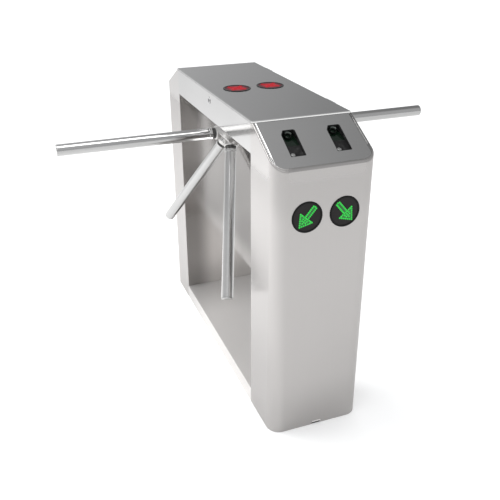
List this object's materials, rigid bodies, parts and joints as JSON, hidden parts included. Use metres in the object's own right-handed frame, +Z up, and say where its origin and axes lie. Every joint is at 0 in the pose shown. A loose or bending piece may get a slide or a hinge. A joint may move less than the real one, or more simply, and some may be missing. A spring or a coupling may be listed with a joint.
{
  "type": "tripod turnstile",
  "caption": "Double-lane bridge-type tripod turnstile: stainless cabinet with an open bridge, rotating three-arm barriers, sloping reader panels, lit direction displays and a hinged lid.",
  "frame": {"origin": "on the floor, at the middle of the cabinet's footprint", "axes": "+X across the lanes along the level arms, +Y to the rear end of the cabinet, +Z up"},
  "size_m": [1.316, 1.122, 0.9827],
  "materials": {
    "satin_stainless": "fine satin brushed stainless steel",
    "polished_stainless": "polished stainless tube",
    "cast_hub": "satin cast and machined",
    "machined_steel": "machined and zinc plated",
    "cast_iron_grey": "cast, grey",
    "lock_chrome": "plated",
    "black_gloss": "gloss black",
    "black_matt": "matt black",
    "reader_glass": "dark green tinted window",
    "lamp_white": "translucent white",
    "green_led": "lit green",
    "red_led": "lit red",
    "black_rubber": "matt",
    "board_green": "circuit board",
    "psu_aluminium": "mill finish case"
  },
  "bodies": {
    "cabinet": {"front_pedestal_shell": "satin_stainless", "rear_pedestal_shell": "satin_stainless", "left_side_rail": "satin_stainless", "right_side_rail": "satin_stainless", "base_tray": "satin_stainless", "inner_panels": "satin_stainless", "bridge_soffit": "satin_stainless", "reader_panels": "satin_stainless", "reader_trays": "black_gloss", "reader_windows": "reader_glass", "reader_lamps": "lamp_white", "mechanism_plates": "machined_steel", "bearing_housings": "cast_iron_grey", "ball_bearings": "machined_steel", "mechanism_fasteners": "machined_steel", "pawl_posts": "machined_steel", "solenoids": "black_matt", "body_hinge_leaves": "machined_steel", "hinge_pins": "machined_steel", "lock_barrel": "lock_chrome", "arrow_bezels": "black_gloss", "arrow_faces": "black_gloss", "arrow_leds": "green_led", "base_plates": "machined_steel", "cable_grommets": "black_rubber", "control_board": "board_green", "power_supply": "psu_aluminium"},
    "left_tripod": {"left_shaft": "machined_steel", "left_index_disc": "machined_steel", "left_hub": "cast_hub", "left_hub_cap": "polished_stainless", "left_arm_top": "polished_stainless", "left_arm_rear": "polished_stainless", "left_arm_front": "polished_stainless", "left_arm_plugs": "polished_stainless"},
    "right_tripod": {"right_shaft": "machined_steel", "right_index_disc": "machined_steel", "right_hub": "cast_hub", "right_hub_cap": "polished_stainless", "right_arm_top": "polished_stainless", "right_arm_rear": "polished_stainless", "right_arm_front": "polished_stainless", "right_arm_plugs": "polished_stainless"},
    "lid": {"top_lid": "satin_stainless", "lid_hinge_leaves": "machined_steel", "lid_catch": "machined_steel", "lamp_bezels": "black_gloss", "lamp_faces": "black_gloss", "lamp_leds": "red_led"},
    "lock_core": {"lock_plug": "lock_chrome", "lock_cam": "machined_steel"},
    "left_rear_latch": {"left_rear_pawl": "machined_steel"},
    "left_rear_push": {"left_rear_plunger": "machined_steel"},
    "left_front_latch": {"left_front_pawl": "machined_steel"},
    "left_front_push": {"left_front_plunger": "machined_steel"},
    "right_rear_latch": {"right_rear_pawl": "machined_steel"},
    "right_rear_push": {"right_rear_plunger": "machined_steel"},
    "right_front_latch": {"right_front_pawl": "machined_steel"},
    "right_front_push": {"right_front_plunger": "machined_steel"}
  },
  "joints": [
    {"name": "left_tripod_spin", "type": "hinge", "parent": "cabinet", "child": "left_tripod", "pos_m": [-0.082, 0, 0.838], "axis": [-0.7071, 0, -0.7071], "continuous": true},
    {"name": "right_tripod_spin", "type": "hinge", "parent": "cabinet", "child": "right_tripod", "pos_m": [0.082, 0, 0.838], "axis": [0.7071, 0, -0.7071], "continuous": true},
    {"name": "lid_open", "type": "hinge", "parent": "cabinet", "child": "lid", "pos_m": [0.1586, 0, 0.976], "axis": [0, 1, 0], "range_deg": [0, 80]},
    {"name": "lock_turn", "type": "hinge", "parent": "cabinet", "child": "lock_core", "pos_m": [-0.156, 0, 0.949], "axis": [-1, 0, 0], "range_deg": [0, 90]},
    {"name": "left_rear_pawl_turn", "type": "hinge", "parent": "cabinet", "child": "left_rear_latch", "pos_m": [-0.02331, 0.056, 0.85426], "axis": [0.7071, 0, 0.7071], "range_deg": [0, 9.5], "stiffness_Nm_per_rad": 0.4, "springref_deg": -5.73},
    {"name": "left_rear_plunger_slide", "type": "slide", "parent": "cabinet", "child": "left_rear_push", "axis": [0, -1, 0], "range_m": [0, 0.008]},
    {"name": "left_front_pawl_turn", "type": "hinge", "parent": "cabinet", "child": "left_front_latch", "pos_m": [-0.02331, -0.056, 0.85426], "axis": [-0.7071, 0, -0.7071], "range_deg": [0, 9.5], "stiffness_Nm_per_rad": 0.4, "springref_deg": -5.73},
    {"name": "left_front_plunger_slide", "type": "slide", "parent": "cabinet", "child": "left_front_push", "axis": [0, 1, 0], "range_m": [0, 0.008]},
    {"name": "right_rear_pawl_turn", "type": "hinge", "parent": "cabinet", "child": "right_rear_latch", "pos_m": [0.02331, 0.056, 0.85426], "axis": [0.7071, 0, -0.7071], "range_deg": [0, 9.5], "stiffness_Nm_per_rad": 0.4, "springref_deg": -5.73},
    {"name": "right_rear_plunger_slide", "type": "slide", "parent": "cabinet", "child": "right_rear_push", "axis": [0, -1, 0], "range_m": [0, 0.008]},
    {"name": "right_front_pawl_turn", "type": "hinge", "parent": "cabinet", "child": "right_front_latch", "pos_m": [0.02331, -0.056, 0.85426], "axis": [-0.7071, 0, 0.7071], "range_deg": [0, 9.5], "stiffness_Nm_per_rad": 0.4, "springref_deg": -5.73},
    {"name": "right_front_plunger_slide", "type": "slide", "parent": "cabinet", "child": "right_front_push", "axis": [0, 1, 0], "range_m": [0, 0.008]}
  ],
  "couplings": [
    {"joint": "left_rear_plunger_slide", "follows": "left_rear_pawl_turn", "m_per_rad": 0.048},
    {"joint": "left_front_plunger_slide", "follows": "left_front_pawl_turn", "m_per_rad": 0.048},
    {"joint": "right_rear_plunger_slide", "follows": "right_rear_pawl_turn", "m_per_rad": 0.048},
    {"joint": "right_front_plunger_slide", "follows": "right_front_pawl_turn", "m_per_rad": 0.048}
  ]
}
